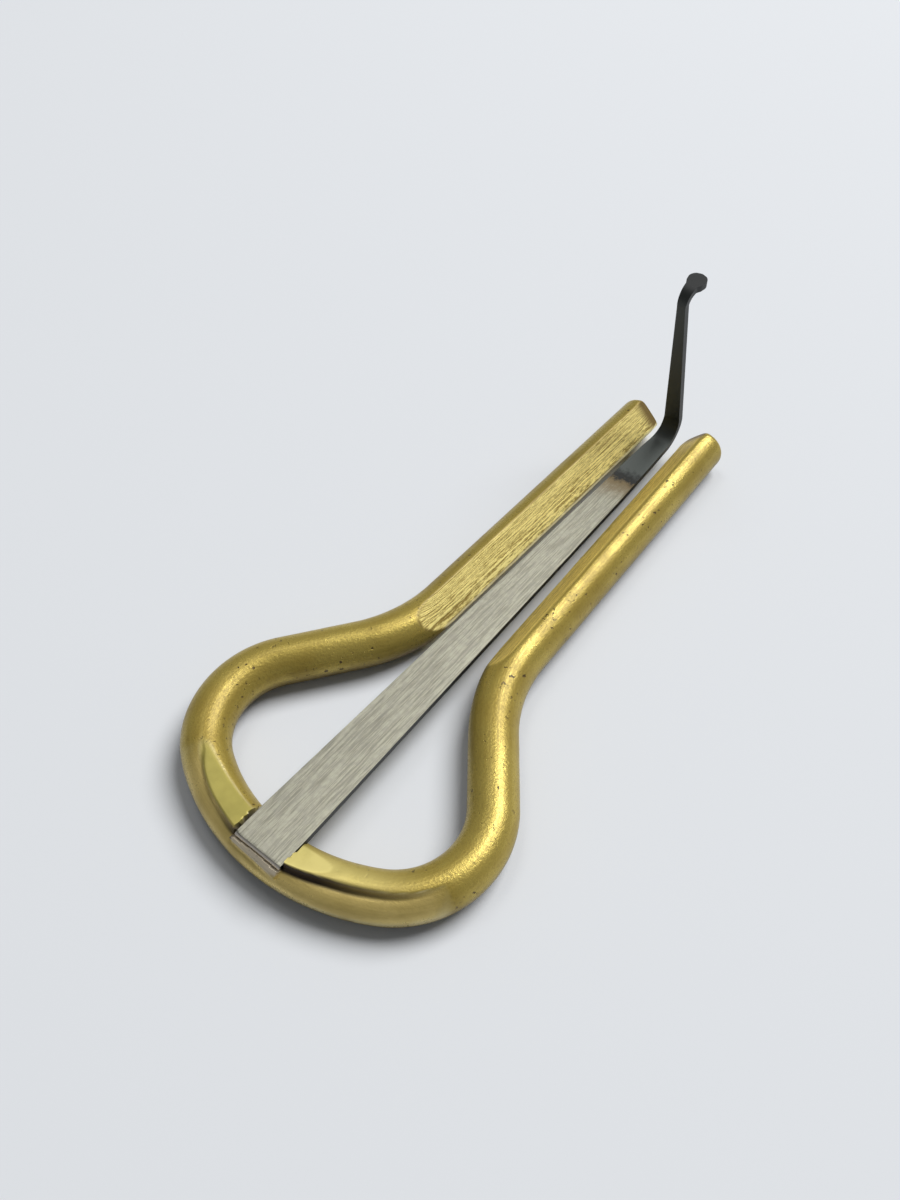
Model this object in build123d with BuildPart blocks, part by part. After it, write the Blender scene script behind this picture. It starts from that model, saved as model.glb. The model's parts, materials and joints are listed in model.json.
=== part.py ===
from build123d import *

import os
from math import asin, cos, degrees, radians, sin, tan

# A jaw harp: a round brass rod bent to a bow with two long arms, and a spring steel reed staked
# into a seat across the back of the bow. It lies on the rod with the reed's trigger standing up.
# X runs from the bow to the ends of the arms, Y across them, and Z is 0 under the rod.

# Frame: the bent rod, in millimetres and degrees
ROD = 5.0  # diameter of the round rod
LENGTH = 72.5  # back of the bow to the ends of the arms
BOW_WIDTH = 35.5  # over the outside of the bow
BACK_RADIUS = 21.5  # rod's centreline across the back of the bow
SIDE_RADIUS = 8.9  # rod's centreline round each side of the bow
NECK_RADIUS = 17.0  # rod's centreline where the bow turns into an arm
NECK_SLOPE = 37.0  # slope of the bow's front before it turns into an arm
ARM_LEAN = 1.5  # how much each arm leans in towards its end
TIP_GAP = 3.8  # between the arms' inner edges at their ends
TIP_ROUND = 0.8  # rounding of the rod's cut ends

# Frame: the bevels filed along each arm, above and below, that meet in an inner edge
EDGE_INSET = 0.08  # rod's inner side in to the sharp edge
LEFT_TILT = 48.0  # how far the left arm's bevels face up, or down, from facing the reed
RIGHT_TILT = 41.0  # the same on the right arm, filed by hand to a steeper bevel
BEVEL_LEAD = 2.0  # how far the flat part of a bevel starts before the straight arm
RUNOUT_RADIUS = 9.0  # curve in which a bevel runs out at the neck
TIP_FACET = 1.8  # length of the facet at the end of an upper bevel
FACET_TILT = 9.0  # how much that facet falls towards the arm's end

# Frame: the reed seat across the back of the bow, a slot between two lips with a ledge behind them
SEAT_DEPTH = 1.25  # top of the rod down to the seat's floor
LIP_DROP = 0.25  # top of the rod down to the outer edge of each flattened lip
LIP_REACH = 0.75  # rod's centreline out to that edge
LIP_TILT = 13.0  # slope of a lip's flat, down towards the inside of the bow
LIP_RISE = 3.6  # slope at which the lips' flats run out along the bow
LIP_CATCH = 0.12  # how far each lip is closed in over the reed's edge
LEDGE_DROP = 1.17  # top of the rod down to the ledge
LEDGE_TILT = 10.0  # slope of the ledge where it leaves the lips
LEDGE_TURN = 62.0  # how much further it curves down into the outside of the bow
LEDGE_RADIUS = 2.1  # radius of that curve
LEDGE_RISE = 5.0  # slope at which the ledge runs out along the bow
WALL_LEAN = 10.0  # how far the step from lip to ledge leans out
LEDGE_SPAN = 45.0  # angle round the back of the bow that the ledge can reach

# Reed: one strip, from its root in the seat to the tab on its trigger
REED_THICKNESS = 0.75
ROOT_WIDTH = 5.5  # where the seat holds it
BLADE_WIDTH = 3.0  # at the far end of the tapered blade
BLADE_SETBACK = 10.0  # from that place to where the trigger starts to bend up
TRIGGER_WIDTH = 2.0  # at the foot of the trigger
TRIGGER_NECK = 1.0  # just below the tab
TAB_WIDTH = 2.2
TAB_CORNER = 1.0
ROOT_OVERHANG = 1.2  # rod's centreline back to the end of the root
ROOT_BEVEL = 0.2  # ground off the root's upper edge
REED_DROP = 1.4  # slope of the blade, down from the seat to the arms' edges
TRIGGER_SETBACK = 3.6  # ends of the arms back to the start of the trigger's bend
TRIGGER_BEND = 2.6  # centreline radius of that bend
TRIGGER_TURN = 102.5  # how far the trigger is bent up and back
TRIGGER_RUN = 18.2  # straight length of the trigger
TAB_BEND = 1.3  # centreline radius of the tab's bend
TAB_TURN = 97.0  # how far the tab is bent forward again
TAB_RUN = 2.1  # straight length of the tab

# Reed: the place it flexes about, a share of its free length away from the seat
FLEX_SHARE = 0.15
KNUCKLE_MARGIN = 0.1  # radius of the curved parting beyond half the strip's thickness
FLEX_GAP = 0.08  # clearance across the parting

rod_radius = ROD / 2
tail_x = rod_radius - LENGTH / 2
tip_x = LENGTH / 2
rod_top = ROD
centre_plane = Plane.XY.offset(rod_radius)

# Half of the rod's centreline: back, side, front, neck and arm, each tangent to the one before.
# The front is as long as it has to be for the arm to end with its edge half the tip gap away.
edge_reach = rod_radius - EDGE_INSET
bow_half_width = (BOW_WIDTH - ROD) / 2
back_turn = degrees(asin((bow_half_width - SIDE_RADIUS) / (BACK_RADIUS - SIDE_RADIUS)))
slope = radians(NECK_SLOPE)
lean = radians(ARM_LEAN)
tip_y = TIP_GAP / 2 + edge_reach
side_centre_x = tail_x + BACK_RADIUS - (BACK_RADIUS - SIDE_RADIUS) * cos(radians(back_turn))
front_start_x = side_centre_x + SIDE_RADIUS * sin(slope)
front_start_y = bow_half_width - SIDE_RADIUS + SIDE_RADIUS * cos(slope)
neck_advance = NECK_RADIUS * (sin(slope) - sin(lean))
neck_approach = NECK_RADIUS * (cos(lean) - cos(slope))
arm_rise = (tip_x - front_start_x - neck_advance) * tan(lean)
front_run = (front_start_y - neck_approach - tip_y - arm_rise) / (sin(slope) - cos(slope) * tan(lean))

with BuildLine(centre_plane) as rod_line:
    back = JernArc((tail_x, 0), (0, 1), BACK_RADIUS, -back_turn)
    side = JernArc(back @ 1, back % 1, SIDE_RADIUS, back_turn - 90 - NECK_SLOPE)
    front = PolarLine(side @ 1, front_run, direction=side % 1)
    neck = JernArc(front @ 1, front % 1, NECK_RADIUS, NECK_SLOPE - ARM_LEAN)
    arm = Line(neck @ 1, (tip_x, tip_y))

# A bevel's sketch: x runs along the arm from the neck, y stands off the bevel from the rod's centre
facet_start = arm.length - TIP_FACET
past_tip = arm.length + ROD
facet_fall = (past_tip - facet_start) * tan(radians(FACET_TILT))

# The reed's own plane: its underside lies on the seat's floor and slopes down towards the arms.
drop = radians(REED_DROP)
reed_along = Vector(cos(drop), 0, -sin(drop))
seat_origin = Vector(tail_x, 0, rod_top - SEAT_DEPTH)
reed_side = Plane(seat_origin, x_dir=reed_along, z_dir=(0, -1, 0))
reed_flat = Plane(seat_origin, x_dir=reed_along, z_dir=reed_side.y_dir)
reed_end_on = Plane(seat_origin, x_dir=(0, 1, 0), z_dir=reed_along)

# Lips and ledge are cut round the bow's back about axes that lean, so that they rise out of the
# rod away from the seat. In their sketches x is measured from the axis, and y from the rod's centre.
seat_lead = degrees(asin(ROOT_WIDTH / 2 / BACK_RADIUS))


def leaning_axis(rise):
    """Axis of a cut round the bow's back that climbs at this slope from the edge of the seat."""
    height = rod_radius - ROOT_WIDTH / 2 * tan(radians(rise))
    return Axis((tail_x + BACK_RADIUS, 0, height), (0, -sin(radians(rise)), cos(radians(rise))))


def cut_start(axis):
    """Plane through that axis on which the cut's profile starts, short of the bow's middle."""
    outward = Vector(-1, 0, 0).rotate(axis, seat_lead)
    return Plane(axis.position, x_dir=outward, z_dir=outward.cross(axis.direction))


lip_axis = leaning_axis(LIP_RISE)
lip_edge = Vector(BACK_RADIUS + LIP_REACH, rod_radius - LIP_DROP)
lip_slope = Vector(ROD, ROD * tan(radians(LIP_TILT)))
ledge_axis = leaning_axis(LEDGE_RISE)
wall_height = LEDGE_DROP - LIP_DROP
wall_slope = tan(radians(WALL_LEAN))
ledge_start = Vector(lip_edge.X + wall_height * wall_slope, rod_radius - LEDGE_DROP)
wall_top = ledge_start + Vector(-ROD * wall_slope, ROD)
ledge_heading = (cos(radians(LEDGE_TILT)), -sin(radians(LEDGE_TILT)))
outside = BACK_RADIUS + ROD

# Frame: half of the rod is bent and cut for the seat, then mirrored, and the arms are filed
with BuildPart() as frame:
    with BuildSketch(Plane(back @ 0, x_dir=(1, 0, 0), z_dir=back % 0)):
        Circle(rod_radius)
    sweep(path=rod_line.wire())
    fillet(frame.edges().filter_by(GeomType.CIRCLE).sort_by(Axis.X)[-1], TIP_ROUND)

    with BuildSketch(cut_start(lip_axis)):
        with BuildLine():
            lip_flat = Line(lip_edge - lip_slope, lip_edge + lip_slope)
            Polyline(lip_flat @ 1, (outside, 2 * ROD), ((lip_flat @ 0).X, 2 * ROD), lip_flat @ 0)
        make_face()
    revolve(axis=lip_axis, revolution_arc=-(seat_lead + back_turn), mode=Mode.SUBTRACT)

    with BuildSketch(cut_start(ledge_axis)):
        with BuildLine():
            Line(wall_top, ledge_start)
            ledge = JernArc(ledge_start, ledge_heading, LEDGE_RADIUS, -LEDGE_TURN)
            flank = PolarLine(ledge @ 1, rod_radius, direction=ledge % 1)
            Polyline(flank @ 1, (outside, (flank @ 1).Y), (outside, wall_top.Y), wall_top)
        make_face()
    revolve(axis=ledge_axis, revolution_arc=-(seat_lead + LEDGE_SPAN), mode=Mode.SUBTRACT)

    with BuildSketch(reed_end_on):
        with BuildLine():
            Polyline(
                (0, 0),
                (ROOT_WIDTH / 2, 0),
                (ROOT_WIDTH / 2, REED_THICKNESS),
                (ROOT_WIDTH / 2 - LIP_CATCH, SEAT_DEPTH - LIP_DROP),
                (ROOT_WIDTH / 2 - LIP_CATCH, ROD),
                (0, ROD),
                close=True,
            )
        make_face()
    extrude(amount=ROD, both=True, mode=Mode.SUBTRACT)
    mirror(about=Plane.XZ)

    for hand, tilt in ((1, LEFT_TILT), (-1, RIGHT_TILT)):
        along = Vector((arm % 1).X, hand * (arm % 1).Y, 0)
        inward = Vector(0, 0, -hand).cross(along)
        neck_end = Vector((arm @ 0).X, hand * (arm @ 0).Y, rod_radius)
        depth = edge_reach * cos(radians(tilt))
        for facing, fall in ((1, facet_fall), (-1, 0)):
            normal = inward * cos(radians(tilt)) + Vector(0, 0, facing * sin(radians(tilt)))
            with BuildSketch(Plane(neck_end, x_dir=along, z_dir=along.cross(normal))):
                with BuildLine():
                    flat = Line((facet_start, depth), (-BEVEL_LEAD, depth))
                    runout = JernArc(flat @ 1, (-1, 0), RUNOUT_RADIUS, -90)
                    Polyline(
                        runout @ 1,
                        (past_tip, (runout @ 1).Y),
                        (past_tip, depth - fall),
                        flat @ 0,
                    )
                make_face()
            extrude(amount=rod_radius, both=True, mode=Mode.SUBTRACT)

# Reed: the strip's side view, at the width of its root, trimmed to its outline seen from above
# and then to the trigger's outline seen along the reed
bend_start = LENGTH - rod_radius - TRIGGER_SETBACK
mid_height = REED_THICKNESS / 2
foot_top = REED_THICKNESS + mid_height

with BuildPart() as strip:
    with BuildSketch(reed_side):
        with BuildLine():
            blade = Line((-ROOT_OVERHANG, mid_height), (bend_start, mid_height))
            foot = JernArc(blade @ 1, blade % 1, TRIGGER_BEND, TRIGGER_TURN)
            shank = PolarLine(foot @ 1, TRIGGER_RUN, direction=foot % 1)
            hook = JernArc(shank @ 1, shank % 1, TAB_BEND, -TAB_TURN)
            tab = PolarLine(hook @ 1, TAB_RUN, direction=hook % 1)
        trace(line_width=REED_THICKNESS)
    extrude(amount=ROOT_WIDTH / 2, both=True)

    with BuildSketch(reed_flat):
        with BuildLine():
            Polyline(
                (rod_radius, ROOT_WIDTH / 2),
                (bend_start - BLADE_SETBACK, BLADE_WIDTH / 2),
                (bend_start, TRIGGER_WIDTH / 2),
                (LENGTH, TRIGGER_WIDTH / 2),
                (LENGTH, ROOT_WIDTH),
                (rod_radius, ROOT_WIDTH),
                close=True,
            )
        make_face()
        mirror(about=Plane.XZ)
    extrude(amount=foot_top, both=True, mode=Mode.SUBTRACT)

    with BuildSketch(reed_end_on):
        with BuildLine():
            Polyline(
                (0, -ROD),
                (ROOT_WIDTH, -ROD),
                (ROOT_WIDTH, foot_top),
                (TRIGGER_WIDTH / 2, foot_top),
                (TRIGGER_WIDTH / 2, (foot @ 1).Y),
                (TRIGGER_NECK / 2, (shank @ 1).Y),
                (TAB_WIDTH / 2, (hook @ 1).Y - mid_height),
                (TAB_WIDTH / 2, LENGTH),
                (0, LENGTH),
            )
            mirror(about=Plane.YZ)
        make_face()
    extrude(amount=LENGTH, both=True, mode=Mode.INTERSECT)

    tab_end = strip.faces().sort_by_distance(reed_side.from_local_coords(tab @ 1))[0]
    fillet(tab_end.edges().sort_by(SortBy.LENGTH)[:2], TAB_CORNER)
    root_end = strip.faces().sort_by(Axis.X)[0]
    chamfer(root_end.edges().sort_by(Axis.Z)[-1], ROOT_BEVEL)

# The strip is parted where it flexes, along a curve about the flexing axis
flex_along = rod_radius + FLEX_SHARE * (bend_start + TRIGGER_BEND - rod_radius)
flex_point = reed_side.from_local_coords((flex_along, mid_height))
flex_plane = Plane(flex_point, x_dir=(0, 1, 0), z_dir=reed_along)
knuckle_radius = mid_height + KNUCKLE_MARGIN
knuckle_plane = Plane(flex_point, z_dir=(0, 1, 0))

with BuildPart() as reed_root:
    add(strip.part)
    split(bisect_by=flex_plane, keep=Keep.BOTTOM)
    with Locations(knuckle_plane):
        Cylinder(knuckle_radius + FLEX_GAP, ROOT_WIDTH, mode=Mode.SUBTRACT)

with BuildPart() as reed_tongue:
    add(strip.part)
    split(bisect_by=flex_plane, keep=Keep.TOP)
    with Locations(knuckle_plane):
        Cylinder(knuckle_radius, ROOT_WIDTH)
    add(strip.part, mode=Mode.INTERSECT)

frame.part.label = "frame"
reed_root.part.label = "reed_root"
reed_tongue.part.label = "reed_tongue"

os.makedirs("parts", exist_ok=True)
export_step(frame.part, "parts/frame.step")
export_step(reed_root.part, "parts/reed_root.step")
export_step(reed_tongue.part, "parts/reed_tongue.step")
print("front run", round(front_run, 2), "flex point", tuple(round(v, 3) for v in flex_point))
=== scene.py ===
# %% [markdown]
# # A jaw harp: a bent brass rod and a spring steel reed
# The real harp has two pieces. A round brass rod is bent into a pear-shaped bow with two arms, and
# a tapered steel strip, the reed, is staked into the back of the bow and runs out between the arms.
# This lesson loads the CAD model as a fixed frame, models both pieces again with worn edges and tool
# marks, gives them their metal, and lights them on a pale floor.

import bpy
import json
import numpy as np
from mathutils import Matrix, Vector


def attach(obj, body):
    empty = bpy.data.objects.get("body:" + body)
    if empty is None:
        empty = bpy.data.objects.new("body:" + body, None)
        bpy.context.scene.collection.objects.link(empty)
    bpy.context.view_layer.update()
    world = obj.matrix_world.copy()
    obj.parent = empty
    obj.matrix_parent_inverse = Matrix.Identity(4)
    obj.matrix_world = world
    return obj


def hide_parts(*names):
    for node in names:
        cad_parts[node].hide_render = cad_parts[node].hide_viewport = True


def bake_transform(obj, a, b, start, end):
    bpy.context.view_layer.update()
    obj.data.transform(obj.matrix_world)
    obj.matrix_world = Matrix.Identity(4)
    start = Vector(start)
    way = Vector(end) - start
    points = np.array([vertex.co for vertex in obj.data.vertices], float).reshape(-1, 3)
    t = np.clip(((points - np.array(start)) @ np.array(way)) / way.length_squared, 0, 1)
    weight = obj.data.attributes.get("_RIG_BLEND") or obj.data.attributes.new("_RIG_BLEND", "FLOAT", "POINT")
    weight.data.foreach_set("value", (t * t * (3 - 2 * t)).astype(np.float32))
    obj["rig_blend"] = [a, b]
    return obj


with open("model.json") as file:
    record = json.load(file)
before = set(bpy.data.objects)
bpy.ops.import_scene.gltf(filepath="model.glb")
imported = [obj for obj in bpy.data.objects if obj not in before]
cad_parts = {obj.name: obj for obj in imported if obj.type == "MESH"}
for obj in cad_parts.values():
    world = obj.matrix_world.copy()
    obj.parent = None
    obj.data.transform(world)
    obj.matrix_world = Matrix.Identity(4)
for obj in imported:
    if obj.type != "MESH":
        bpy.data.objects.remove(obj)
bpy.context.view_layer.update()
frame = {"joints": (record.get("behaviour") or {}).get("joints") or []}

# %% Set the units
import json
from math import asin, cos, degrees, pi, radians, sin, sqrt, tan

import bmesh
import bpy
import numpy as np
from mathutils import Quaternion, Vector, noise

MM = 0.001

# %% [markdown]
# ## The camera
# The photograph looks down on the harp from behind the bow. A camera can be aimed by hand, but then
# every later comparison depends on how well that went. So the place, turn and lens of this camera were
# solved from the rod's outline, and they are set as they are.

# %% Set up the camera
SENSOR_WIDTH, LENS = 36.0, 32.815
CLIP_NEAR, CLIP_FAR = 0.005, 20.0
CAMERA_PLACE = (-56.898, -39.761, 94.767)
CAMERA_TURN = (0.851961, 0.292453, -0.139621, -0.411266)
camera_data = bpy.data.cameras.new("photo_camera")
camera_data.sensor_width = SENSOR_WIDTH
camera_data.lens = LENS
camera_data.clip_start, camera_data.clip_end = CLIP_NEAR, CLIP_FAR
camera = bpy.data.objects.new("photo_camera", camera_data)
bpy.context.scene.collection.objects.link(camera)
camera.location = Vector(CAMERA_PLACE) * MM
camera.rotation_mode = "QUATERNION"
camera.rotation_quaternion = Quaternion(CAMERA_TURN)
bpy.context.scene.camera = camera
print("camera", round(camera.location.length / MM), "mm from the origin")

# %% [markdown]
# ## A path of runs and bends
# Both pieces are made in the workshop by feeding stock straight ahead and bending it round a former,
# again and again. A curve with a round profile would give the rod at once, but its rings would not lie
# where the later steps need them. So each piece gets a path, a list of straight runs and turns, and a
# ring or an edge is walked along it. The first path is the middle line of half the rod: back, side,
# front, neck and arm, the same runs as in the CAD model. The front is as long as it is there, so that
# the arm ends with its edge half the tip gap away from the middle.

# %% Set the rod's sizes
ROD = 5.0
HALF = ROD / 2
LENGTH, BOW_WIDTH = 72.5, 35.5
BACK_RADIUS, SIDE_RADIUS, NECK_RADIUS = 21.5, 8.9, 17.0
NECK_SLOPE, ARM_LEAN, FRONT_RUN = 37.0, 1.5, 7.8498
TIP_GAP, EDGE_INSET = 3.8, 0.08
TAIL_X = HALF - LENGTH / 2
BACK_TURN = degrees(asin(((BOW_WIDTH - ROD) / 2 - SIDE_RADIUS) / (BACK_RADIUS - SIDE_RADIUS)))
EDGE_REACH = HALF - EDGE_INSET
ARM_END = np.array((LENGTH / 2, TIP_GAP / 2 + EDGE_REACH))
print("the back of the bow turns", round(2 * BACK_TURN, 1), "degrees")

# %% Lay out the rod's middle line
BACK_STEP, SIDE_STEP, FRONT_STEP, NECK_STEP, ARM_STEP = 0.28, 0.3, 0.35, 0.28, 0.34
TO_THE_LEFT = 90


def bend_path(start, heading, pieces):
    """Runs (length, 0, step) and bends (turn in degrees, radius, step) laid end to end, in mm."""
    path, point, way, gone = [], np.array(start, float), radians(heading), 0.0
    for size, radius, step in pieces:
        piece = {"start": point, "way": way, "gone": gone, "radius": radius}
        piece["turn"], piece["length"] = 0.0, size
        if radius:
            piece["turn"] = radians(size)
            piece["length"] = abs(piece["turn"]) * radius
            turn_hand = np.sign(size)
            piece["centre"] = point + turn_hand * radius * np.array((-sin(way), cos(way)))
            way += piece["turn"]
            point = piece["centre"] - turn_hand * radius * np.array((-sin(way), cos(way)))
        else:
            point = point + size * np.array((cos(way), sin(way)))
        piece["steps"] = max(1, round(piece["length"] / step))
        gone += piece["length"]
        path.append(piece)
    return path


def half_rod(arm):
    """The middle line of half the rod, with an arm of this length."""
    bends = [
        (-BACK_TURN, BACK_RADIUS, BACK_STEP),
        (BACK_TURN - TO_THE_LEFT - NECK_SLOPE, SIDE_RADIUS, SIDE_STEP),
        (FRONT_RUN, 0, FRONT_STEP),
        (NECK_SLOPE - ARM_LEAN, NECK_RADIUS, NECK_STEP),
        (arm, 0, ARM_STEP),
    ]
    return bend_path((TAIL_X, 0), TO_THE_LEFT, bends)


arm_start = half_rod(0)[-1]["start"]
arm_length = float(np.linalg.norm(ARM_END - arm_start))
rod_path = half_rod(arm_length)
rod_length = rod_path[-1]["gone"] + arm_length
arm_way = np.array((cos(rod_path[-1]["way"]), sin(rod_path[-1]["way"]), 0))
print("arm", round(arm_length, 2), "mm long, so half the rod is", round(rod_length, 2), "mm")

# %% [markdown]
# ## The rod
# A ring of vertices stands at the middle of the bow's back and walks along the path: Extrude Repeat
# makes the straight runs and Spin makes the bends. The cut end of the arm is rounded over in a few
# small extrusions. Mirror then makes the other half, so both halves are alike before they are filed.

# %% Walk a ring along half of the rod
RING = 128
TIP_ROUND = 0.8


def follow(path, place, axis):
    """Walks the selected edges along a path. place turns path points into space, axis is its normal."""
    origin = place(np.zeros(2))
    for piece in path:
        steps = piece["steps"]
        if piece["radius"]:
            middle = place(piece["centre"])
            bpy.ops.mesh.spin(steps=steps, angle=-piece["turn"], center=middle, axis=axis)
        else:
            step = piece["length"] / steps * np.array((cos(piece["way"]), sin(piece["way"])))
            bpy.ops.mesh.extrude_repeat(steps=steps, offset=place(step) - origin)


bpy.ops.object.select_all(action="DESELECT")
bpy.ops.mesh.primitive_circle_add(
    vertices=RING, radius=HALF * MM, location=(TAIL_X * MM, 0, HALF * MM), rotation=(pi / 2, 0, 0)
)
rod = bpy.context.object
rod.name = "brass_frame"
bpy.ops.object.transform_apply(location=True, rotation=True, scale=True)
bpy.ops.object.mode_set(mode="EDIT")
bpy.ops.mesh.select_all(action="SELECT")
follow(half_rod(arm_length - TIP_ROUND), lambda p: np.array((p[0], p[1], HALF)) * MM, (0, 0, 1))
print("half rod of", len(bmesh.from_edit_mesh(rod.data).verts), "vertices")

# %% Round over the arm's cut end and close it
ROUND_STEPS = 6
END_RINGS = (0.72, 0.6, 0.4)


def coordinates(obj):
    """The mesh's vertices as an array, in mm."""
    values = np.empty(len(obj.data.vertices) * 3)
    obj.data.vertices.foreach_get("co", values)
    return values.reshape(-1, 3) / MM


ring_radius, gone = HALF, 0.0
for step in range(1, ROUND_STEPS + 1):
    angle = step / ROUND_STEPS * pi / 2
    advance = TIP_ROUND * sin(angle) - gone
    narrow = HALF - TIP_ROUND * (1 - cos(angle))
    bpy.ops.mesh.extrude_region_move(TRANSFORM_OT_translate={"value": arm_way * advance * MM})
    bpy.ops.transform.resize(value=(narrow / ring_radius,) * 3)
    ring_radius, gone = narrow, gone + advance
for share in END_RINGS:
    bpy.ops.mesh.extrude_region_move(TRANSFORM_OT_translate={"value": (0, 0, 0)})
    bpy.ops.transform.resize(value=(share,) * 3)
bpy.ops.mesh.extrude_region_move(TRANSFORM_OT_translate={"value": (0, 0, 0)})
bpy.ops.mesh.merge(type="CENTER")
bpy.ops.object.mode_set(mode="OBJECT")
print("half rod ends at", [round(v, 2) for v in coordinates(rod).max(0)])

# %% Mirror the other half
MERGE_GAP = 0.001
mirror = rod.modifiers.new("other_half", "MIRROR")
mirror.use_axis = (False, True, False)
mirror.merge_threshold = MERGE_GAP * MM
bpy.ops.object.modifier_apply(modifier=mirror.name)
bpy.ops.object.mode_set(mode="EDIT")
bpy.ops.mesh.select_all(action="SELECT")
bpy.ops.mesh.normals_make_consistent(inside=False)
print("whole rod of", len(bmesh.from_edit_mesh(rod.data).faces), "faces")

# %% [markdown]
# ## Loops for the reed seat
# The slot for the reed has steep walls, so the mesh needs edge loops exactly there. Bisect lays them
# across the back of the bow: one at the floor's edge, one for the knee of the wall, and a few more
# behind the wall's top edge, so that the edge can be rounded. The left lip stands a little off the
# reed, and the right one is closed down on it.

# %% Bisect the bow's back beside the seat
ROOT_WIDTH = 5.5
LEFT_GAP = 0.26
LOOPS = (0.0, 0.01, 0.02, 0.06, 0.13, 0.24)
LOOP_FRONT, LOOP_NEAR, LOOP_FAR = -29.5, 1.5, 4.5
slot_wall = {1: ROOT_WIDTH / 2 + LEFT_GAP, -1: ROOT_WIDTH / 2}


def pick(obj, wanted):
    """In edit mode, selects the vertices that wanted(co in mm) is true for, and nothing else."""
    bpy.ops.mesh.select_all(action="DESELECT")
    mesh = bmesh.from_edit_mesh(obj.data)
    for vertex in mesh.verts:
        if wanted(vertex.co / MM):
            vertex.select_set(True)
    mesh.select_flush(True)
    bmesh.update_edit_mesh(obj.data)


for side, wall_y in slot_wall.items():
    for offset in LOOPS:
        pick(rod, lambda co: co.x < LOOP_FRONT and LOOP_NEAR < side * co.y < LOOP_FAR)
        bpy.ops.mesh.bisect(plane_co=(0, side * (wall_y + offset) * MM, 0), plane_no=(0, 1, 0))
bpy.ops.object.mode_set(mode="OBJECT")
print("with seat loops:", len(rod.data.vertices), "vertices")

# %% [markdown]
# ## Places on the rod
# The next steps file, strike and mark the rod, and each of them asks where a vertex lies: how far along
# the bow or the arm, which way out of the middle line, and on which side of the harp. Both halves are
# folded onto one, and the path gives the answer. hand is 1 on the left of the harp and -1 on the right,
# and out is the way to the outside of the bow.

# %% Find every vertex's place on the rod
TINY = 1e-9


def stations(path, points):
    """Distance along the path, offset to its left and foot on the path of each 2-D point."""
    best = np.full(len(points), np.inf)
    distance, offset, foot = np.zeros(len(points)), np.zeros(len(points)), np.zeros((len(points), 2))
    for piece in path:
        start, way, radius = piece["start"], piece["way"], piece["radius"]
        if radius:
            turn_hand = np.sign(piece["turn"])
            first, spoke = start - piece["centre"], points - piece["centre"]
            swept = np.arctan2(first[0] * spoke[:, 1] - first[1] * spoke[:, 0], spoke @ first) * turn_hand
            swept = np.clip(swept, 0, abs(piece["turn"]))
            bearing = np.arctan2(first[1], first[0]) + turn_hand * swept
            here = piece["centre"] + radius * np.column_stack((np.cos(bearing), np.sin(bearing)))
            gone, beside = swept * radius, turn_hand * (radius - np.linalg.norm(spoke, axis=1))
        else:
            gone = np.clip((points - start) @ (cos(way), sin(way)), 0, piece["length"])
            here = start + gone[:, None] * np.array((cos(way), sin(way)))
            beside = (points - start) @ (-sin(way), cos(way))
        gap = np.linalg.norm(points - here, axis=1)
        nearer = gap < best - TINY
        best[nearer], offset[nearer], foot[nearer] = gap[nearer], beside[nearer], here[nearer]
        distance[nearer] = piece["gone"] + gone[nearer]
    return distance, offset, foot


points = coordinates(rod)
hand = np.where(points[:, 1] < 0, -1, 1)
folded = points * (1, 0, 1) + np.abs(points) * (0, 1, 0)
along, left, foot = stations(rod_path, folded[:, :2])
centre = np.column_stack((foot, np.full(len(foot), HALF)))
ray = folded - centre
stock = np.linalg.norm(ray, axis=1)
ray /= np.maximum(stock, TINY)[:, None]
outward, upward = left / np.maximum(stock, TINY), ray[:, 2]
print("places found over", round(along.max(), 2), "mm of the half rod")

# %% [markdown]
# ## Wear
# New rod is round and even. This one has been bent, struck and handled, and a highlight shows every
# shallow dent in it. A Displace modifier could push the surface about, but it would also blur the
# cuts that follow. So only the rod's own radius is worn here, by a slow noise and a quicker one.

# %% Wear the rod's skin
WANDER_WAVES, WANDER_DEPTH = 0.22, 0.005
DENT_WAVES, DENT_DEPTH = 0.75, 0.003
DENT_SHIFT = Vector((31, 7, 3))
HIGH_SPOT = 0.8
wander = np.array([noise.noise(Vector(p) * WANDER_WAVES) for p in points])
dents = np.array([noise.noise(Vector(p) * DENT_WAVES + DENT_SHIFT) for p in points])
worn_off = WANDER_DEPTH * (HIGH_SPOT - wander).clip(0) + DENT_DEPTH * (HIGH_SPOT - dents).clip(0)
worn_stock = stock * (1 - worn_off)
print("skin worn by up to", round((stock - worn_stock).max(), 3), "mm")

# %% [markdown]
# ## Bevels along the arms
# A smith files two bevels on each arm, one above and one below, which meet in an edge beside the reed.
# They run out in an arc at the neck, and a short facet eases the upper one at the tip. Booleans would
# leave knife edges and long thin faces. Here each cut is a distance function instead: how far a point
# stands out of the cut. A smooth maximum of two distances rounds the edge between them, as handling
# does on brass.

# %% Measure from the bevels
LEFT_TILT, RIGHT_TILT = 48.0, 41.0
BEVEL_LEAD, RUNOUT_RADIUS = 2.0, 9.0
TIP_FACET, FACET_TILT = 1.8, 9.0
WAVER_WAVES, WAVER_ROW, WAVER_DEPTH = 0.3, (5, 1), 0.03
EDGE_SOFT = 0.16
FAR = -9.0
waver = np.array([noise.noise(Vector((place * WAVER_WAVES, *WAVER_ROW))) for place in hand * along])


def smooth_max(a, b, blend):
    """The larger of two distances, rounded off where they are within blend of each other."""
    near = np.maximum(blend - np.abs(a - b), 0) / blend
    return np.maximum(a, b) + near * near * blend / 4


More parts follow.
